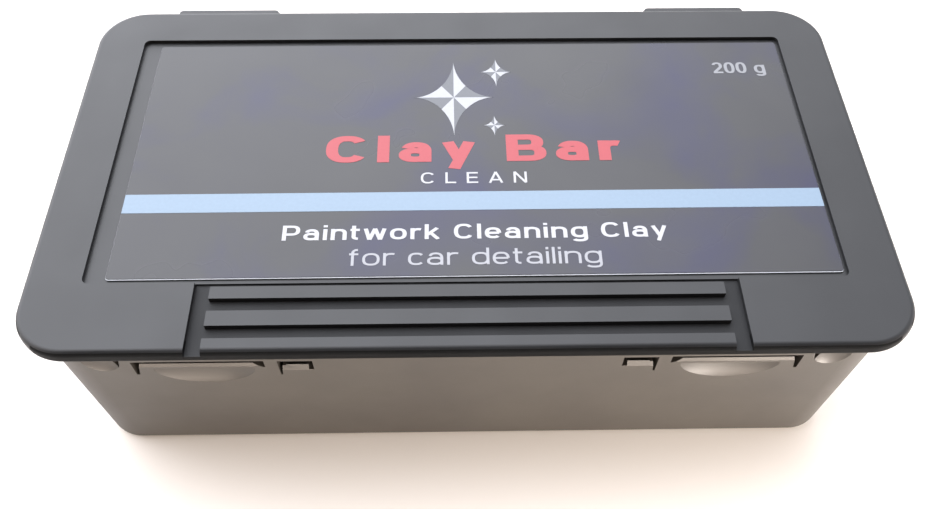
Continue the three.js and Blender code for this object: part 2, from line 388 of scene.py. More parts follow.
def set_shader(shader, **values):
    for key, value in values.items():
        shader.inputs[key.replace("_", " ")].default_value = value


def moulded_polypropylene(name, dark, light, roughness, specular=0.5):
    """Polypropylene moulded in a spark-eroded tool: an even satin, a fine pebble and faint flow clouds."""
    material, tree, shader, place = start_material(name)
    set_shader(shader, IOR=1.49, Specular_IOR_Level=specular)
    clouds = add_node(tree, "ShaderNodeTexNoise", {"Vector": place, "Scale": per_metre(22), "Detail": 4})
    tone = add_node(tree, "ShaderNodeValToRGB", {"Fac": clouds.outputs["Fac"]})
    tone.color_ramp.elements[0].color = colour(dark)
    tone.color_ramp.elements[0].position = 0.35
    tone.color_ramp.elements[1].color = colour(light)
    tone.color_ramp.elements[1].position = 0.65
    tree.links.new(tone.outputs["Color"], shader.inputs["Base Color"])
    handled = add_node(tree, "ShaderNodeTexNoise", {"Vector": place, "Scale": per_metre(9), "Detail": 6})
    sheen = add_node(tree, "ShaderNodeMapRange", {
        "Value": handled.outputs["Fac"], "From Min": 0.0, "From Max": 1.0,
        "To Min": roughness - 0.09, "To Max": roughness + 0.09,
    })
    tree.links.new(sheen.outputs["Result"], shader.inputs["Roughness"])
    # the real pebble is about 0.1 mm, and is drawn at 0.3 mm so that it shows
    pebble = add_node(tree, "ShaderNodeTexNoise", {"Vector": place, "Scale": per_metre(0.3), "Detail": 3})
    bump = add_node(tree, "ShaderNodeBump", {
        "Height": pebble.outputs["Fac"], "Strength": 0.25, "Distance": 0.02 * MM,
    })
    tree.links.new(bump.outputs["Normal"], shader.inputs["Normal"])
    return material


def printed_label_film():
    """Polypropylene label film, printed near black with blue-violet clouds under a clear satin varnish."""
    material, tree, shader, place = start_material("printed_label_film")
    set_shader(shader, IOR=1.5)
    clouds = add_node(tree, "ShaderNodeTexNoise", {
        "Vector": place, "Scale": per_metre(24), "Detail": 4, "Roughness": 0.5, "Distortion": 0.4,
    })
    tone = add_node(tree, "ShaderNodeValToRGB", {"Fac": clouds.outputs["Fac"]})
    ramp = tone.color_ramp
    ramp.elements[0].color = colour("#12123c")
    ramp.elements[0].position = 0.27
    ramp.elements[1].color = colour("#2b2b2b")
    ramp.elements[1].position = 0.8
    middle = ramp.elements.new(0.5)
    middle.color = colour("#252529")
    tree.links.new(tone.outputs["Color"], shader.inputs["Base Color"])
    handled = add_node(tree, "ShaderNodeTexNoise", {"Vector": place, "Scale": per_metre(13), "Detail": 2})
    sheen = add_node(tree, "ShaderNodeMapRange", {
        "Value": handled.outputs["Fac"], "From Min": 0.0, "From Max": 1.0,
        "To Min": 0.2, "To Max": 0.4,
    })
    tree.links.new(sheen.outputs["Result"], shader.inputs["Roughness"])
    # the real press grain is about 0.05 mm, and is drawn at 0.7 mm so that it shows
    grain = add_node(tree, "ShaderNodeTexNoise", {"Vector": place, "Scale": per_metre(0.7), "Detail": 2})
    bump = add_node(tree, "ShaderNodeBump", {
        "Height": grain.outputs["Fac"], "Strength": 0.1, "Distance": 0.01 * MM,
    })
    tree.links.new(bump.outputs["Normal"], shader.inputs["Normal"])
    return material


def printing_ink(name, hex_code, roughness=0.32):
    """Screen-printed ink under the label's clear film: flat colour with a faint screen grain."""
    material, tree, shader, place = start_material(name)
    set_shader(shader, IOR=1.5, Roughness=roughness)
    grain = add_node(tree, "ShaderNodeTexNoise", {"Vector": place, "Scale": per_metre(0.5), "Detail": 2})
    full = colour(hex_code)
    thin = (*[part * 0.9 for part in full[:3]], 1)
    mixed = add_node(tree, "ShaderNodeMixRGB", {"Fac": grain.outputs["Fac"], "Color1": full, "Color2": thin})
    tree.links.new(mixed.outputs["Color"], shader.inputs["Base Color"])
    return material


def detailing_clay():
    """Kneaded polymer clay with fine grit: soft and matt, with pressed dimples and slightly uneven dye."""
    material, tree, shader, place = start_material("detailing_clay")
    set_shader(shader, IOR=1.46, Roughness=0.62, Subsurface_Weight=0.08)
    dye = add_node(tree, "ShaderNodeTexNoise", {
        "Vector": place, "Scale": per_metre(14), "Detail": 6, "Distortion": 0.8,
    })
    tone = add_node(tree, "ShaderNodeValToRGB", {"Fac": dye.outputs["Fac"]})
    tone.color_ramp.elements[0].color = colour("#1d5f9e")
    tone.color_ramp.elements[0].position = 0.3
    tone.color_ramp.elements[1].color = colour("#3f86c4")
    tone.color_ramp.elements[1].position = 0.7
    tree.links.new(tone.outputs["Color"], shader.inputs["Base Color"])
    grit = add_node(tree, "ShaderNodeTexNoise", {"Vector": place, "Scale": per_metre(0.7), "Detail": 5})
    bump = add_node(tree, "ShaderNodeBump", {
        "Height": grit.outputs["Fac"], "Strength": 0.5, "Distance": 0.08 * MM,
    })
    tree.links.new(bump.outputs["Normal"], shader.inputs["Normal"])
    return material


def clear_wrapping_film():
    """Thin cast polypropylene film: clear, glossy and creased."""
    material, tree, shader, place = start_material("clear_wrapping_film")
    set_shader(shader, IOR=1.49, Roughness=0.1, Alpha=0.13)
    shader.inputs["Base Color"].default_value = colour("#eef3f6")
    creases = add_node(tree, "ShaderNodeTexNoise", {
        "Vector": place, "Scale": per_metre(4), "Detail": 3, "Distortion": 1.8,
    })
    bump = add_node(tree, "ShaderNodeBump", {
        "Height": creases.outputs["Fac"], "Strength": 0.9, "Distance": 0.5 * MM,
    })
    tree.links.new(bump.outputs["Normal"], shader.inputs["Normal"])
    return material


# one plastic in the finishes that the faces of its tool give it, and two darker, less glossy copies of it
# that carry painted shade in the grip's grooves and on the rim's side
LID_PLASTIC = moulded_polypropylene("moulded_polypropylene_satin", "#1c1d1f", "#222325", 0.42)
# painted shade: a darker, duller copy of the satin plastic for the grip's groove floors and end walls
GROOVE_PAINTED_SHADE = moulded_polypropylene("moulded_polypropylene_grooves_painted_shade", "#17181a", "#1b1c1e", 0.62, 0.36)
INSIDE_PLASTIC = moulded_polypropylene("moulded_polypropylene_core_side", "#2a2a2a", "#303030", 0.58)
# painted shade: a near-black copy of the plastic with weak reflection, for the rim's rounded side
RIM_PAINTED_SHADE = moulded_polypropylene("moulded_polypropylene_rim_painted_shade", "#0e0f10", "#121314", 0.6, 0.1)
TRAY_PLASTIC = moulded_polypropylene("moulded_polypropylene_matt", "#272421", "#2d2a26", 0.5)
WHITE_EDGE = printing_ink("white_label_stock", "#c9ccd2")
PIN_PLASTIC = moulded_polypropylene("turned_black_polypropylene", "#232427", "#292a2d", 0.38)
LABEL_FILM = printed_label_film()
CLAY = detailing_clay()
WRAPPING = clear_wrapping_film()


# ---- camera, floor and light ----
def make_camera():
    """The camera, looking down over the front of the case, with a slight turn and tilt."""
    data = bpy.data.cameras.new("camera")
    data.lens = CAMERA_LENS
    data.sensor_width = 36
    data.clip_start, data.clip_end = 0.005, 20
    camera = bpy.data.objects.new("camera", data)
    bpy.context.scene.collection.objects.link(camera)
    level = Vector((math.cos(CAMERA_YAW), -math.sin(CAMERA_YAW), 0))
    forward = Vector((
        math.sin(CAMERA_YAW) * math.cos(CAMERA_PITCH), math.cos(CAMERA_YAW) * math.cos(CAMERA_PITCH),
        -math.sin(CAMERA_PITCH),
    ))
    up = level.cross(forward)
    right = level * math.cos(CAMERA_ROLL) + up * math.sin(CAMERA_ROLL)
    up = up * math.cos(CAMERA_ROLL) - level * math.sin(CAMERA_ROLL)
    turn = Matrix((right, up, -forward)).transposed().to_4x4()
    camera.matrix_world = Matrix.Translation(CAMERA_PLACE) @ turn
    bpy.context.scene.camera = camera


def make_floor():
    bpy.ops.object.select_all(action="DESELECT")
    bpy.ops.mesh.primitive_plane_add(size=4, location=(0, 0, -0.02 * MM))
    floor = settle(bpy.context.object)
    floor.name = "floor"
    material, _, shader, _ = start_material("pale_paper")
    set_shader(shader, Roughness=0.8, IOR=1.3)
    shader.inputs["Base Color"].default_value = colour("#f4efe9")
    floor.data.materials.append(material)


def soft_light(name, place, aim, size, watts, tint):
    """An oblong lamp that is aimed at a place."""
    data = bpy.data.lights.new(name, "AREA")
    data.shape = "RECTANGLE"
    data.size, data.size_y = size
    data.energy = watts
    data.color = colour(tint)[:3]
    lamp = bpy.data.objects.new(name, data)
    bpy.context.scene.collection.objects.link(lamp)
    lamp.location = place
    lamp.visible_camera = False
    lamp.rotation_mode = "QUATERNION"
    lamp.rotation_quaternion = (Vector(aim) - Vector(place)).to_track_quat("-Z", "Y")
    return lamp


def light_only(lamp, *names):
    """Keeps a lamp's light on the named pieces, so that the lid and its dark rim get none of it."""
    group = bpy.data.collections.new(lamp.name + "_reach")
    for name in names:
        group.objects.link(bpy.data.objects[name])
    lamp.light_linking.receiver_collection = group


def make_lamps():
    """One small lamp over the table, two low ones in front of the case, and one higher up in front."""
    table = soft_light("table_light", (0, -0.17, 0.085), (0, -0.17, 0), (0.5, 0.12), 0.1, "#ffe4c8")
    front = soft_light("front_fill", (-0.08, -0.5, 0.025), (0, 0, 0.012), (0.8, 0.06), 0.05, "#ffeedd")
    right = soft_light(
        "right_fill", (0.17, -0.17, 0.02), (0.05, -0.03, 0.012), (0.12, 0.04), 1.15, "#fff4ea",
    )
    # low enough to glance off the scoops' lips and the window sills towards the camera
    brow = soft_light("brow_fill", (0.04, -0.5, 0.14), (0, -0.03, 0.02), (0.8, 0.06), 6.6, "#fbeadb")
    light_only(table, "floor")
    light_only(front, "floor", "tray")
    light_only(right, "floor", "tray")
    light_only(brow, "tray")


def make_room():
    """A soft bright room with a window high behind on the left, and a dark maker standing in front."""
    world = bpy.data.worlds.new("studio")
    bpy.context.scene.world = world
    world.use_nodes = True
    tree = world.node_tree
    tree.nodes.clear()
    direction = add_node(tree, "ShaderNodeTexCoord").outputs["Generated"]
    axes = add_node(tree, "ShaderNodeSeparateXYZ", {"Vector": direction})
    near_window = add_node(tree, "ShaderNodeVectorMath", {
        0: direction, 1: WINDOW_WAY,
    }, operation="DOT_PRODUCT")
    near_maker = add_node(tree, "ShaderNodeVectorMath", {
        0: direction, 1: MAKER_WAY,
    }, operation="DOT_PRODUCT")
    behind = add_node(tree, "ShaderNodeMapRange", {
        "Value": axes.outputs["Y"], "From Min": FRONT_TO_BACK[0], "From Max": FRONT_TO_BACK[1],
        "To Min": 0.0, "To Max": 1.0,
    }, interpolation_type="SMOOTHSTEP")
    room = add_node(tree, "ShaderNodeMixRGB", {
        "Fac": behind.outputs["Result"], "Color1": colour("#ffe6cf"), "Color2": colour("#f6f8ff"),
    })
    window = add_node(tree, "ShaderNodeMapRange", {
        "Value": near_window.outputs["Value"], "From Min": WINDOW_GLOW[0], "From Max": WINDOW_GLOW[1],
        "To Min": ROOM_LIGHT, "To Max": WINDOW_LIGHT,
    }, interpolation_type="SMOOTHSTEP")
    maker = add_node(tree, "ShaderNodeMapRange", {
        "Value": near_maker.outputs["Value"], "From Min": MAKER_EDGE[0], "From Max": MAKER_EDGE[1],
        "To Min": 0.0, "To Max": MAKER_DARKNESS,
    }, interpolation_type="SMOOTHSTEP")
    over_table = add_node(tree, "ShaderNodeMapRange", {
        "Value": axes.outputs["Z"], "From Min": MAKER_FOOT[0], "From Max": MAKER_FOOT[1],
        "To Min": 0.0, "To Max": 1.0,
    }, interpolation_type="SMOOTHSTEP")
    shade = add_node(tree, "ShaderNodeMath", {
        0: maker.outputs["Result"], 1: over_table.outputs["Result"],
    }, operation="MULTIPLY")
    lit = add_node(tree, "ShaderNodeMath", {0: 1.0, 1: shade.outputs["Value"]}, operation="SUBTRACT")
    strength = add_node(tree, "ShaderNodeMath", {
        0: window.outputs["Result"], 1: lit.outputs["Value"],
    }, operation="MULTIPLY")
    back = add_node(tree, "ShaderNodeBackground", {
        "Color": room.outputs["Color"], "Strength": strength.outputs["Value"],
    })
    add_node(tree, "ShaderNodeOutputWorld", {"Surface": back.outputs["Background"]})


make_camera()
make_floor()
bpy.context.scene.view_settings.view_transform = "Standard"


# ---- tray ----
def taper_foot(piece, foot_z, half_width, half_depth, draft):
    """Draws the underside in, so that the walls lean out by the draft."""
    select_parts(piece, "VERT", lambda v: abs(v.co.z - foot_z) < SAME)
    bpy.ops.transform.resize(value=(1 - draft / half_width, 1 - draft / half_depth, 1))
    leave_edit()


def wall_face(z):
    """Where the front wall's outer face stands at a height."""
    return -TRAY_HALF_DEPTH + TRAY_DRAFT * (1 - z / TRAY_TOP)


def cut_window(tray, window):
    """Cuts a window whose sill slopes up from the wall's face to a crest, with a deeper floor behind it."""
    face = wall_face(window.sill)
    crest_y = face + window.depth
    rise = window.crest - window.sill
    slope = box_between("slope", (window.inner, face, window.sill), (window.outer, crest_y, window.top))
    move_corners(slope, lambda v: v.co.y > face + SAME and v.co.z < window.sill + SAME, (0, 0, rise))
    move_corners(slope, lambda v: v.co.y < face + SAME, (0, CUT_FRONT - face, 0))
    fall = (CUT_FRONT - face) * rise / window.depth
    move_corners(slope, lambda v: v.co.y < face and v.co.z < window.sill + SAME, (0, 0, fall))
    on_both_sides(cut_away, tray, slope)
    opening = box_between(
        "opening", (window.inner, crest_y - WINDOW_OVERLAP, window.crest - WINDOW_FLOOR_DROP),
        (window.outer, CUT_BACK, window.top),
    )
    on_both_sides(cut_away, tray, opening)


def cut_windows(tray):
    """Cuts both windows of a side, the cuts through the wall at their ends, and the notches under them."""
    cut_window(tray, LONG_WINDOW)
    cut_window(tray, SMALL_WINDOW)
    for inner, outer, foot in END_CUTS:
        end = box_between("end", (inner, CUT_FRONT, foot), (outer, CUT_BACK, SMALL_WINDOW.top - CUT_STEP))
        on_both_sides(cut_away, tray, end)
    inner, outer, foot = WEDGE_CUT
    wedge = box_between("wedge", (inner, CUT_FRONT, foot), (outer, CUT_BACK, LONG_WINDOW.top - CUT_STEP))
    outer_foot = (0, 0, LONG_WINDOW.crest - foot)
    move_corners(wedge, lambda v: v.co.z < foot + SAME and v.co.x > inner + SAME, outer_foot)
    on_both_sides(cut_away, tray, wedge)
    for inner, outer, foot in NOTCHES:
        notch = box_between(
            "notch", (inner, CUT_FRONT, foot), (outer, CUT_BACK, SMALL_WINDOW.top - 2 * CUT_STEP),
        )
        taper = ((outer - inner) * NOTCH_TAPER, 0, 0)
        move_corners(notch, lambda v: v.co.z < foot + SAME and v.co.x < inner + SAME, taper)
        on_both_sides(cut_away, tray, notch)


def cut_lens(tray):
    """Cuts the dish at the outer end, the slot over it and the dark wedge at its inner end."""
    dish = dished_cap(LENS_CENTRE, LENS_TOP, LENS_HALF_WIDTH, LENS_DROP, LENS_DEPTH)
    on_both_sides(cut_away, tray, dish)
    inner, outer = LENS_SLOT_ENDS
    slot = box_between("slot", (inner, CUT_FRONT, LENS_TOP - LENS_SLOT), (outer, CUT_BACK, LENS_TOP))
    on_both_sides(cut_away, tray, slot)
    inner, outer = LENS_WEDGE_ENDS
    foot = LENS_TOP - LENS_WEDGE_DROP
    wedge = box_between("wedge", (inner, CUT_FRONT, foot), (outer, CUT_BACK, LENS_TOP - 2 * CUT_STEP))
    move_corners(wedge, lambda v: v.co.z < foot + SAME and v.co.x > inner + SAME, (0, 0, LENS_WEDGE_RISE))
    move_corners(wedge, lambda v: v.co.z < foot + SAME, (LENS_WEDGE_LEAN, 0, 0))
    on_both_sides(cut_away, tray, wedge)


def half_ball(place, size, rings):
    """The lower half of a flattened ball, with its flat top at the given place."""
    bpy.ops.object.select_all(action="DESELECT")
    bpy.ops.mesh.primitive_uv_sphere_add(segments=96, ring_count=rings, radius=1, location=place)
    half = bpy.context.object
    half.scale = size
    settle(half)
    select_parts(half, "FACE", lambda face: True)
    bpy.ops.mesh.bisect(plane_co=(0, 0, place[2]), plane_no=(0, 0, 1), use_fill=True, clear_outer=True)
    leave_edit()
    return half


def dished_cap(centre, top, half_width, drop, depth):
    """A half ball that stands off the front wall and dips into it, so that it leaves a soft lip."""
    stand_off = 0.5  # of the ball's radius, from its middle to the wall
    reach = math.sqrt(1 - stand_off ** 2)
    radius_y = depth / (1 - stand_off)
    place = (centre, wall_face(top) - radius_y * stand_off, top)
    return half_ball(place, (half_width / reach, radius_y, drop / reach), 64)


def scoop_backing():
    """A half ball that stands in the front wall, for the bulge behind a scoop."""
    half_width, depth, drop = (size + SCOOP_BACKING for size in (SCOOP_HALF_WIDTH, SCOOP_DEPTH, SCOOP_DROP))
    return half_ball((SCOOP_CENTRE, wall_face(SCOOP_TOP), SCOOP_TOP), (half_width, depth, drop), 48)


def weld_scoop_backings(tray):
    """Thickens the wall behind the scoops, clear of the latch tongues."""
    backing = scoop_backing()
    select_parts(backing, "FACE", lambda face: True)
    inside = Vector((0, -TRAY_HALF_DEPTH + TRAY_DRAFT + GAP, 0))
    bpy.ops.mesh.bisect(plane_co=inside, plane_no=(0, -1, 0), use_fill=True, clear_outer=True)
    bpy.ops.mesh.select_all(action="SELECT")
    under_tongue = Vector((0, 0, TONGUE_LOW.z - 2 * GAP))
    bpy.ops.mesh.bisect(plane_co=under_tongue, plane_no=(0, 0, 1), use_fill=True, clear_outer=True)
    leave_edit()
    on_both_sides(weld_on, tray, backing)


def cut_scoops(tray):
    on_both_sides(cut_away, tray, dished_cap(
        SCOOP_CENTRE, SCOOP_LIP_TOP, SCOOP_LIP_HALF_WIDTH, SCOOP_LIP_DROP, SCOOP_LIP_DEPTH))


def weld_lugs(tray):
    """Welds a hinge lug with its arm and stop heel to each side of the rear wall, and bores it."""
    inner = HINGE_INNER + KNUCKLE_WIDTH + GAP
    outer = HINGE_OUTER - KNUCKLE_WIDTH - GAP
    lug = rod_along_x("lug", KNUCKLE_RADIUS, inner, outer, HINGE_Y, HINGE_Z)
    step = 0.03 * MM  # keeps the welded shapes' sides from lying in one plane
    root = TRAY_HALF_DEPTH - 0.6 * WALL
    heel_foot = HINGE_Z - 3.4 * MM
    arm = box_between(
        "arm", (inner + step, root, HINGE_Z - 1.6 * MM), (outer - step, HINGE_Y, HINGE_Z + 1.4 * MM),
    )
    heel = box_between(
        "heel", (inner + 2 * step, root - step, heel_foot),
        (outer - 2 * step, HINGE_Y + 1.2 * MM, HINGE_Z - 1 * MM),
    )
    at_foot = at_height(heel_foot)
    bevel_edges(heel, lambda e: at_foot(e) and min(v.co.y for v in e.verts) > HINGE_Y, 0.5 * MM, 4)
    weld_on(lug, arm)
    weld_on(lug, heel)
    on_both_sides(weld_on, tray, lug)
    bore = rod_along_x("bore", BORE_RADIUS, HINGE_INNER, HINGE_OUTER, HINGE_Y, HINGE_Z)
    on_both_sides(cut_away, tray, bore)


def make_tray():
    w, d = TRAY_HALF_WIDTH, TRAY_HALF_DEPTH
    tray = rounded_box("tray", (-w, -d, 0), (w, d, TRAY_TOP), TRAY_CORNER, 14)
    taper_foot(tray, 0, w, d, TRAY_DRAFT)
    bevel_edges(tray, at_height(0), TRAY_FOOT_ROUND, 6)
    w, d = w - WALL, d - WALL
    cavity = rounded_box("cavity", (-w, -d, WALL), (w, d, TRAY_TOP + 1 * MM), TRAY_CORNER - WALL, 12)
    taper_foot(cavity, WALL, w, d, TRAY_DRAFT)
    bevel_edges(cavity, at_height(WALL), 1.5 * MM, 5)
    cut_away(tray, cavity)
    weld_scoop_backings(tray)
    weld_lugs(tray)
    cut_windows(tray)
    cut_lens(tray)
    cut_scoops(tray)
    soften(tray, 0.12 * MM)
    finish_piece(tray, TRAY_PLASTIC, "tray", "case_plastic", "base_tray")


# ---- lid ----
def make_lid_recess():
    """The cutter for the label's field, the grip's sunken floor and the channels at the grip's sides."""
    above = LID_TOP + 1 * MM
    cutter = rounded_box(
        "recess", (-RECESS_HALF_WIDTH, RECESS_FRONT, RECESS_FLOOR), (RECESS_HALF_WIDTH, RECESS_BACK, above),
        RECESS_CORNER, 8,
    )
    half = GRIP_HALF_WIDTH + GRIP_CHANNEL
    grip = box_between(
        "grip", (-half, FRONT_RIB_BACK, GRIP_FLOOR), (half, RECESS_FRONT + 0.1 * MM, above),
    )
    weld_on(cutter, grip)
    channel = box_between(
        "channel", (GRIP_HALF_WIDTH, -HALF_DEPTH - 1 * MM, GRIP_FLOOR),
        (half, FRONT_RIB_BACK + 1 * MM, above),
    )
    on_both_sides(weld_on, cutter, channel)
    return cutter


def weld_grip_ribs(lid):
    for front, back in GRIP_RIBS:
        rib = box_between(
            "rib", (-GRIP_HALF_WIDTH, front, GRIP_FLOOR - 0.3 * MM), (GRIP_HALF_WIDTH, back, LID_TOP),
        )
        weld_on(lid, rib)


def make_plug_ring():
    """The ring under the lid that plugs into the tray, with slots for the latch tongues."""
    half_width = PLUG_HALF_WIDTH
    hollow_half = PLUG_HALF_WIDTH - PLUG_WALL
    top = LID_UNDERSIDE + 0.5 * MM
    below = PLUG_FOOT - 1 * MM
    ring = rounded_box(
        "ring", (-half_width, PLUG_FRONT, PLUG_FOOT), (half_width, PLUG_BACK, top), PLUG_CORNER, 10,
    )
    hollow = rounded_box(
        "hollow", (-hollow_half, PLUG_FRONT + PLUG_WALL, below),
        (hollow_half, PLUG_BACK - PLUG_WALL, top + 1 * MM), PLUG_CORNER - PLUG_WALL, 10,
    )
    cut_away(ring, hollow)
    slot = box_between(
        "slot", (TONGUE_LOW.x - 2 * GAP, PLUG_FRONT - 1 * MM, below),
        (TONGUE_HIGH.x + 2 * GAP, PLUG_FRONT + PLUG_WALL + 1 * MM, LID_UNDERSIDE),
    )
    on_both_sides(cut_away, ring, slot)
    return ring


def make_hinge_tab():
    """A tab behind the lid with its two knuckles."""
    tab = box_between(
        "tab", (HINGE_INNER, HALF_DEPTH - 3 * MM, LID_UNDERSIDE), (HINGE_OUTER, TAB_BACK, TAB_TOP),
    )
    bevel_edges(tab, lambda e: upright(e) and e.verts[0].co.y > HALF_DEPTH, 0.7 * MM, 5)
    on_top = at_height(TAB_TOP)
    behind = HALF_DEPTH - 1 * MM
    bevel_edges(tab, lambda e: on_top(e) and all(v.co.y > behind for v in e.verts), 0.2 * MM, 3)
    for start in (HINGE_INNER, HINGE_OUTER - KNUCKLE_WIDTH):
        end = start + KNUCKLE_WIDTH
        knuckle = rod_along_x("knuckle", KNUCKLE_RADIUS, start, end, HINGE_Y, HINGE_Z)
        web = box_between(
            "web", (start, HINGE_Y - 1.5 * MM, HINGE_Z), (end, HINGE_Y + 1.3 * MM, LID_UNDERSIDE + 0.3 * MM),
        )
        weld_on(knuckle, web)
        weld_on(tab, knuckle)
    return tab


def paint_lid(lid):
    """Gives the grip's groove floors and end walls and the rim's side darker copies of the plastic as
    painted shade, and the lid's underside its own finish.
    """
    lid.data.materials.append(GROOVE_PAINTED_SHADE)
    lid.data.materials.append(RIM_PAINTED_SHADE)
    lid.data.materials.append(INSIDE_PLASTIC)
    grooves, rim, inside = 1, 2, 3
    grip_side = GRIP_HALF_WIDTH + GRIP_CHANNEL + 0.1 * MM
    under = LID_UNDERSIDE + 0.01 * MM
    edge = 1.5 * MM
    for face in lid.data.polygons:
        x, y, z = abs(face.center.x), face.center.y, face.center.z
        level_or_end = face.normal.z > 0.9 or abs(face.normal.x) > 0.6
        in_grip = y < RECESS_FRONT and x < grip_side and LID_UNDERSIDE < z < LID_TOP - 0.3 * MM
        # painted shade in the grip's grooves and on the channels' end walls
        if in_grip and level_or_end:
            face.material_index = grooves
        at_edge = x > HALF_WIDTH - edge or HALF_DEPTH - edge < abs(y)
        # painted shade on the rim's rounded side
        if at_edge and z > under and face.normal.z < 0.72 and abs(y) < HALF_DEPTH + 0.1 * MM:
            face.material_index = rim
        if z < under:
            face.material_index = inside


def make_lid():
    w, d = HALF_WIDTH, HALF_DEPTH
    lid = rounded_box("lid", (-w, -d, LID_UNDERSIDE), (w, d, LID_TOP), LID_CORNER, 18)
    bevel_edges(lid, at_height(LID_TOP), RIM_ROUND, 8)
    bevel_edges(lid, at_height(LID_UNDERSIDE), RIM_UNDER_ROUND, 4)
    cut_away(lid, make_lid_recess())
    weld_grip_ribs(lid)
    weld_on(lid, make_plug_ring())
    on_both_sides(weld_on, lid, make_hinge_tab())
    bore = rod_along_x("bore", BORE_RADIUS, HINGE_INNER - 1 * MM, HINGE_OUTER + 1 * MM, HINGE_Y, HINGE_Z)
    on_both_sides(cut_away, lid, bore)
    soften(lid, 0.2 * MM)
    finish_piece(lid, LID_PLASTIC, "lid", "case_plastic", "lid_shell")
    paint_lid(lid)


# ---- latch tongues and hinge pins ----
def make_latches():
    """A tongue with a round root and three barbs, and its mirror image."""
    inner, outer = TONGUE_LOW.x, TONGUE_HIGH.x
    root = (TONGUE_REAR - TONGUE_FACE) / 2
    tongue = box_between("latch", (inner, TONGUE_FACE, TONGUE_LOW.z), (outer, TONGUE_REAR, FLEX_Z))
    weld_on(tongue, rod_along_x("root", root, inner, outer, FLEX_Y, FLEX_Z, 32))
    at_foot = at_height(TONGUE_LOW.z)
    bevel_edges(tongue, lambda e: at_foot(e) and abs(e.verts[0].co.y - e.verts[1].co.y) > SAME, 0.8 * MM, 5)
    for start, end in BARBS:
        barb = box_between("barb", (start, TONGUE_LOW.y, BARB_FOOT), (end, TONGUE_FACE + 0.3 * MM, BARB_TOP))
        move_corners(barb, lambda v: v.co.z < BARB_FOOT + SAME and v.co.y < TONGUE_FACE, (0, 0, BARB_SLOPE))
        weld_on(tongue, barb)
    soften(tongue, 0.1 * MM)
    other = mirrored(tongue)
    tongue.name = "latch_right"
    other.name = "latch_left"
    finish_piece(tongue, LID_PLASTIC, "latch_right", "case_plastic", "latch_tongue_right")
    finish_piece(other, LID_PLASTIC, "latch_left", "case_plastic", "latch_tongue_left")


def make_pins():
    """A hinge pin with a rounded head, and its mirror image."""
    tip, end = PIN_LOW.x, PIN_HIGH.x
    pin = rod_along_x("pin", PIN_RADIUS, tip, end - 0.2 * MM, HINGE_Y, HINGE_Z)
    bevel_edges(pin, at_side(tip), 0.35 * MM, 3)
    head = rod_along_x("head", PIN_HEAD_RADIUS, end - PIN_HEAD_THICKNESS, end, HINGE_Y, HINGE_Z)
    bevel_edges(head, at_side(end), 0.45 * MM, 5)
    weld_on(pin, head)
    soften(pin, 0.06 * MM)
    other = mirrored(pin)
    pin.name = "pin_right"
    other.name = "pin_left"
    finish_piece(pin, PIN_PLASTIC, "tray", "pin_plastic", "hinge_pin_right")
    finish_piece(other, PIN_PLASTIC, "tray", "pin_plastic", "hinge_pin_left")


# ---- label ----
def turn_with_label(piece):
    """Turns a mesh by the label's small slant, about the label's middle."""
    select_parts(piece, "VERT", lambda v: True)
    bpy.ops.transform.rotate(value=-LABEL_TURN, orient_axis="Z", center_override=LABEL_MIDDLE)
    leave_edit()


def print_on_label(piece, material):
    """Finishes a printed piece, turned as the label is."""
    turn_with_label(piece)
    finish_piece(piece, material, "lid", "label_film", sharp=30)


def print_bar(name, x0, x1, y0, y1, material):
    top = LABEL_HIGH.z + PRINT_TOP
    bar = box_between(name, (x0, y0, LABEL_HIGH.z - PRINT_SINK), (x1, y1, top))
    bevel_edges(bar, at_height(top), 0.01 * MM, 1)
    print_on_label(bar, material)


def arc(x0, x1, y0, y1, start, end, steps=20):
    """Part of a squared-off oval that fills a box, between two angles in degrees."""
    points = []
    power = OVAL_SQUARENESS
    for i in range(steps + 1):
        angle = math.radians(start + (end - start) * i / steps)
        x, y = math.cos(angle), math.sin(angle)
        reach = (abs(x) ** power + abs(y) ** power) ** (-1 / power)
        across = (x0 + x1) / 2 + (x1 - x0) / 2 * reach * x
        up = (y0 + y1) / 2 + (y1 - y0) / 2 * reach * y
        points.append((across, up))
    return points


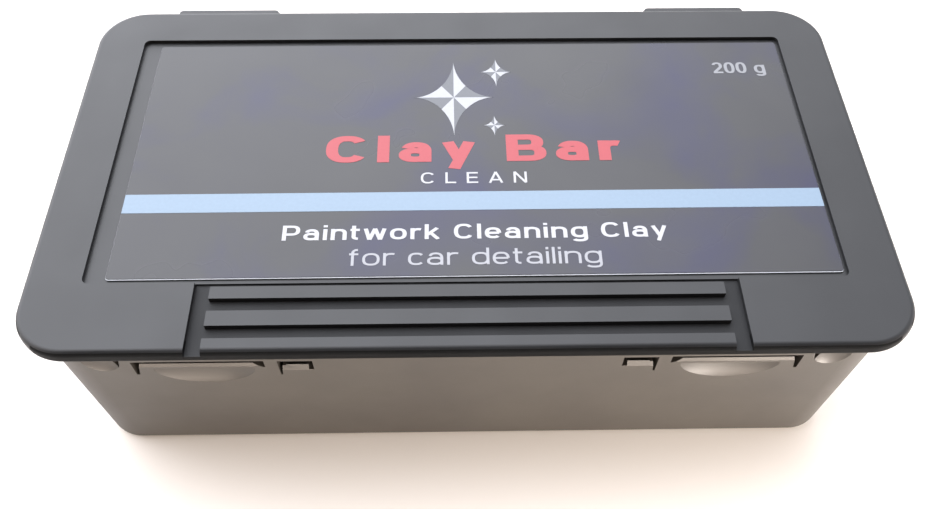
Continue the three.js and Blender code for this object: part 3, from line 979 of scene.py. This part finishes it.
def letter_strokes(t, level):
    """Wide plain lettering, capitals 1 tall: each letter's width and centre lines.

    Upright strokes are t thick, and level ones as thick as their own figure.
    """
    e, f = t / 2, level / 2
    small = SMALL_LETTER
    top, mid = 1 - f, small - f
    half = small * 0.5

    def dee(right, y0, y1):
        """The bowl of a capital, from the stem and back to it."""
        bend = right - (y1 - y0) * 0.6
        return [(e, y1)] + arc(2 * bend - right, right, y0, y1, 90, -90) + [(e, y0)]

    return {
        " ": (0.34, []),
        "A": (1.02, [[(e, 0), (0.51, 1)], [(0.51, 1), (1.02 - e, 0)], [(0.2, 0.28), (0.82, 0.28)]]),
        "B": (0.94, [[(e, 0), (e, 1)], dee(0.89 - e, 0.51, top), dee(0.94 - e, f, 0.51)]),
        "C": (0.98, [arc(e, 0.98 - e, f, top, 38, 322, 36)]),
        "E": (0.8, [[(e, 0), (e, 1)], [(e, top), (0.8, top)], [(e, 0.51), (0.76, 0.51)],
                    [(e, f), (0.8, f)]]),
        "L": (0.76, [[(e, 0), (e, 1)], [(e, f), (0.76, f)]]),
        "N": (0.94, [[(e, 0), (e, 1)], [(e, 1), (0.94 - e, 0)], [(0.94 - e, 0), (0.94 - e, 1)]]),
        "P": (0.88, [[(e, 0), (e, 1)], dee(0.88 - e, 0.4, top)]),
        "0": (0.8, [arc(e, 0.8 - e, f, top, 0, 360, 40)]),
        "2": (0.78, [arc(e, 0.76 - e, 0.46, top, 165, -38) + [(e, f + 0.03)], [(0, f), (0.78, f)]]),
        "a": (0.8, [arc(e + 0.04, 0.78 - e, 0.1, mid, 152, 0), [(0.78 - e, 0.44), (0.78 - e, 0)],
                    arc(e, 0.78 - e, f, 0.42, 0, 360, 32)]),
        "c": (0.76, [arc(e, 0.8 - e, f, mid, 42, 318, 30)]),
        "d": (0.84, [arc(e, 0.84 - e, f, mid, 0, 360, 36), [(0.84 - e, 0), (0.84 - e, 1)]]),
        "e": (0.82, [arc(e, 0.82 - e, f, mid, 0, 318, 34), [(e, half), (0.82 - e, half)]]),
        "f": (0.48, [[(0.17, 0), (0.17, 0.8)], arc(0.17, 0.17 + 0.5, 0.55, top, 180, 92),
                     [(0, mid), (0.44, mid)]]),
        "g": (0.84, [arc(e, 0.84 - e, f, mid, 0, 360, 36), [(0.84 - e, small), (0.84 - e, -0.02)],
                     arc(e + 0.02, 0.84 - e, f - 0.27, 0.16, 0, -150)]),
        "i": (t, [[(e, 0), (e, small)], [(e, 0.86), (e, 1)]]),
        "k": (0.78, [[(e, 0), (e, 1)], [(e, 0.26), (0.74 - e, small)], [(0.32, 0.4), (0.78 - e, 0)]]),
        "l": (t, [[(e, 0), (e, 1)]]),
        "n": (0.8, [[(e, 0), (e, small)], arc(e, 0.8 - e, 0.2, mid, 180, 0),
                    [(0.8 - e, 0.47), (0.8 - e, 0)]]),
        "o": (0.84, [arc(e, 0.84 - e, f, mid, 0, 360, 36)]),
        "r": (0.54, [[(e, 0), (e, small)], arc(e, 0.8 - e, 0.2, mid, 180, 66)]),
        "t": (0.48, [[(0.17, 0.2), (0.17, 0.95)], arc(0.17, 0.62, f, 0.4, 180, 268),
                     [(0, mid), (0.46, mid)]]),
        "w": (1.14, [[(e, small), (0.31, 0)], [(0.31, 0), (0.57, small)], [(0.57, small), (0.83, 0)],
                     [(0.83, 0), (1.14 - e, small)]]),
        "y": (0.8, [[(e, small), (0.42, 0.03)], [(0.8 - e, small), (0.3, -0.26)]]),
    }


def stroke_profile(width):
    """The oblong that every stroke of a line is swept with."""
    data = bpy.data.curves.new("profile", "CURVE")
    corners = data.splines.new("POLY")
    corners.points.add(3)
    half, thick = width / 2, (PRINT_SINK + PRINT_TOP) / 2
    places = ((-half, -thick), (half, -thick), (half, thick), (-half, thick))
    for point, (x, y) in zip(corners.points, places):
        point.co = (x, y, 0, 1)
    corners.use_cyclic_u = True
    return bpy.data.objects.new("profile", data)


def print_words(name, words, x0, x1, foot, height, material, upright_stroke, level_stroke, gap=0.16):
    """Draws a line of lettering as flat strokes, spread to its width."""
    strokes = letter_strokes(upright_stroke, level_stroke)
    total = sum(strokes[letter][0] for letter in words) + gap * (len(words) - 1)
    spread = (x1 - x0) / total
    tall = upright_stroke / level_stroke  # drawn this much too tall, then pressed down
    profile = stroke_profile(upright_stroke * height)
    data = bpy.data.curves.new(name, "CURVE")
    data.dimensions = "3D"
    data.twist_mode = "Z_UP"
    data.bevel_mode = "OBJECT"
    data.bevel_object = profile
    data.use_fill_caps = True
    cursor = 0
    layer = 0
    for letter in words:
        width, lines = strokes[letter]
        for points in lines:
            layer = (layer + 1) % PRINT_LAYERS
            closed = (Vector(points[0]) - Vector(points[-1])).length < SAME
            spline = data.splines.new("POLY")
            spline.points.add(len(points) - (2 if closed else 1))
            spline.use_cyclic_u = closed
            z = LABEL_HIGH.z + layer * PRINT_LAYER
            for point, (x, y) in zip(spline.points, points):
                point.co = (x0 + (cursor + x) * spread, foot + y * height * tall, z, 1)
        cursor += width + gap
    line = bpy.data.objects.new(name, data)
    bpy.context.scene.collection.objects.link(line)
    start_alone(line)
    bpy.ops.object.convert(target="MESH")
    line = bpy.context.object
    bpy.data.objects.remove(profile)
    select_parts(line, "FACE", lambda face: True)
    bpy.ops.mesh.remove_doubles(threshold=PRINT_MERGE)
    bpy.ops.mesh.normals_make_consistent(inside=False)
    bpy.ops.transform.resize(value=(1, 1 / tall, 1), center_override=(0, foot, 0))
    leave_edit()
    print_on_label(line, material)


def print_sparkle(name, x, y, half_height, half_width, light, shade):
    """A four-pointed sparkle with hollow sides, its points folded into a light and a shaded half."""
    bpy.ops.object.select_all(action="DESELECT")
    bpy.ops.mesh.primitive_circle_add(vertices=64, radius=1, fill_type="TRIFAN", location=(0, 0, 0))
    star = bpy.context.object
    star.name = name
    for v in star.data.vertices:
        if v.co.length > 0.5:
            angle = math.atan2(v.co.y, v.co.x)
            v.co.x = math.copysign(abs(math.cos(angle)) ** SPARKLE_HOLLOW, math.cos(angle))
            v.co.y = math.copysign(abs(math.sin(angle)) ** SPARKLE_HOLLOW, math.sin(angle))
    star.scale = (half_width, half_height, 1)
    star.location = (x, y, LABEL_HIGH.z - PRINT_SINK)
    settle(star)
    select_parts(star, "FACE", lambda face: True)
    bpy.ops.mesh.extrude_region_move(TRANSFORM_OT_translate={"value": (0, 0, PRINT_SINK + PRINT_TOP)})
    bpy.ops.mesh.select_all(action="SELECT")
    bpy.ops.mesh.remove_doubles(threshold=PRINT_MERGE)
    bpy.ops.mesh.normals_make_consistent(inside=False)
    leave_edit()
    print_on_label(star, light)
    star.data.materials.append(shade)
    for face in star.data.polygons:
        away = (face.center.x - x) / half_width, (face.center.y - y) / half_height
        if (abs(away[0]) > abs(away[1])) == (away[0] * away[1] > 0):
            face.material_index = 1


def print_label(left, right):
    """Prints the stripe, the lettering and the sparkles on the label."""
    blue = printing_ink("pale_blue_ink", "#7d92a6")
    red = printing_ink("red_ink", "#a6363f")
    white = printing_ink("white_ink", "#b4b5b9")
    grey = printing_ink("light_grey_ink", "#9b9ca2")
    dull_grey = printing_ink("dull_grey_ink", "#85878c")
    silver = printing_ink("silver_ink", "#a9abb0", 0.25)
    shade = printing_ink("silver_ink_shaded", "#5d6066", 0.25)
    print_bar("stripe", left, right, -9.8 * MM, -6.4 * MM, blue)
    # each line: name, words, left and right end, foot and height in mm, ink, stroke widths, gap
    for name, words, x0, x1, foot, height, ink, upright_stroke, level_stroke, gap in (
        ("title", "Clay Bar", -21.2, 23.6, -0.67, 5.3, red, 0.34, 0.2, 0.12),
        ("word_below", "CLEAN", -6.6, 9, -4.83, 2.08, white, 0.16, 0.13, 0.75),
        ("use_line", "Paintwork Cleaning Clay", -26, 28.3, -14.9, 2.6, white, 0.22, 0.15, 0.16),
        ("trade_line", "for car detailing", -16.4, 18.6, -19.3, 2.8, grey, 0.14, 0.11, 0.16),
        ("content", "200 g", 40.4, 48.8, 17.5, 2.5, dull_grey, 0.2, 0.15, 0.16),
    ):
        print_words(
            name, words, x0 * MM, x1 * MM, foot * MM, height * MM, ink, upright_stroke, level_stroke, gap,
        )
    # each sparkle: name, middle, half its height and half its width in mm
    for name, x, y, half_height, half_width in (
        ("sparkle_large", -1.6, 12.6, 8.2, 6.2),
        ("sparkle_small", 5.2, 18.2, 3.3, 2.5),
        ("sparkle_low", 4.6, 6.6, 2.2, 1.7),
    ):
        print_sparkle(name, x * MM, y * MM, half_height * MM, half_width * MM, silver, shade)


def make_label():
    """The white label stock, the printed film on it, and the print."""
    low = LABEL_MIDDLE - Vector((*LABEL_HALF, 0))
    high = LABEL_MIDDLE + Vector((*LABEL_HALF, 0))
    low.z, high.z = LABEL_LOW.z, LABEL_HIGH.z
    stock = rounded_box("label_stock", low, (high.x, high.y, low.z + LABEL_STOCK), 0.5 * MM, 4)
    soften(stock, 0.03 * MM, 1)
    turn_with_label(stock)
    finish_piece(stock, WHITE_EDGE, "lid", "label_film", "lid_label")
    near = low + NEAR_STRIP
    near.z = low.z + LABEL_STOCK - LABEL_OVERLAP
    far = high - FAR_STRIP
    label = rounded_box("label", near, far, 0.4 * MM, 4)
    soften(label, 0.03 * MM, 1)
    turn_with_label(label)
    finish_piece(label, LABEL_FILM, "lid", "label_film")
    print_label(near.x, far.x)


# ---- clay and its wrapping ----
def roughen(piece, depth, size, seed):
    """Presses the surface in by a smooth noise, never outwards."""
    for v, normal in zip(piece.data.vertices, [n.vector.copy() for n in piece.data.vertex_normals]):
        place = v.co * (1 / size) + Vector((seed, 0, 0))
        amount = 0.5 + 0.5 * noise.fractal(place, 1.0, 2.0, 3)
        v.co -= normal * depth * min(1, max(0, amount))


def make_clay():
    bar = rounded_box("clay", CLAY_LOW, CLAY_HIGH, 3 * MM, 6)
    bevel_edges(bar, at_height(CLAY_HIGH.z), 2.6 * MM, 6)
    bevel_edges(bar, at_height(CLAY_LOW.z), 1.6 * MM, 4)
    apply_modifier(bar, "REMESH", mode="VOXEL", voxel_size=0.8 * MM)
    apply_modifier(bar, "SMOOTH", factor=0.5, iterations=4)
    roughen(bar, 0.5 * MM, 13 * MM, 3.1)
    roughen(bar, 0.16 * MM, 2.5 * MM, 7.7)
    finish_piece(bar, CLAY, "tray", "clay", "clay_bar", sharp=180)


def crumple(piece, depth):
    """Draws the sleeve's skin in along crossing folds, never outwards."""
    middle = (FILM_LOW + FILM_HIGH) / 2
    size = FILM_HIGH - FILM_LOW
    for v in piece.data.vertices:
        along, across = v.co.x / FOLD_ALONG, (v.co.y + v.co.z) / FOLD_ACROSS
        waver = noise.noise(Vector((along * 0.6, across * 0.6, 4.2)))
        fold = 1 - abs(math.sin(along * 1.3 + across * 0.9 + 2.2 * waver))
        cross = 1 - abs(math.sin(along * 0.8 - across * 1.4 + 1.9 * waver))
        amount = 0.6 * fold ** 4 + 0.4 * cross ** 5
        in_y, in_z = middle.y - v.co.y, middle.z - v.co.z
        if abs(in_z) > abs(in_y) * size.z / size.y:
            inward = Vector((0, 0, math.copysign(1, in_z)))
        else:
            inward = Vector((0, math.copysign(1, in_y), 0))
        v.co += inward * depth * amount


def make_film():
    """An open-ended sleeve, cut finely enough to take its folds."""
    w = FILM_HIGH.x
    sleeve = box_between("film", (-w, FILM_LOW.y, FILM_LOW.z), (w, FILM_HIGH.y, FILM_HIGH.z))

    def lengthways(edge):
        return abs(edge.verts[0].co.x - edge.verts[1].co.x) > w

    def wide(edge):
        return (edge.verts[0].co.yz - edge.verts[1].co.yz).length > 10 * MM

    bevel_edges(sleeve, lengthways, 3 * MM, 6)
    select_parts(sleeve, "FACE", lambda face: abs(face.normal.x) > 0.9)
    bpy.ops.mesh.delete(type="FACE")
    leave_edit()
    select_parts(sleeve, "EDGE", lengthways)
    bpy.ops.mesh.subdivide(number_cuts=100)
    leave_edit()
    select_parts(sleeve, "EDGE", wide)
    bpy.ops.mesh.subdivide(number_cuts=40)
    leave_edit()
    crumple(sleeve, 0.12 * MM)
    finish_piece(sleeve, WRAPPING, "tray", "clear_film", "clay_film", sharp=180)


make_tray()
make_lid()
make_latches()
make_pins()
make_label()
make_clay()
make_film()
make_lamps()
make_room()
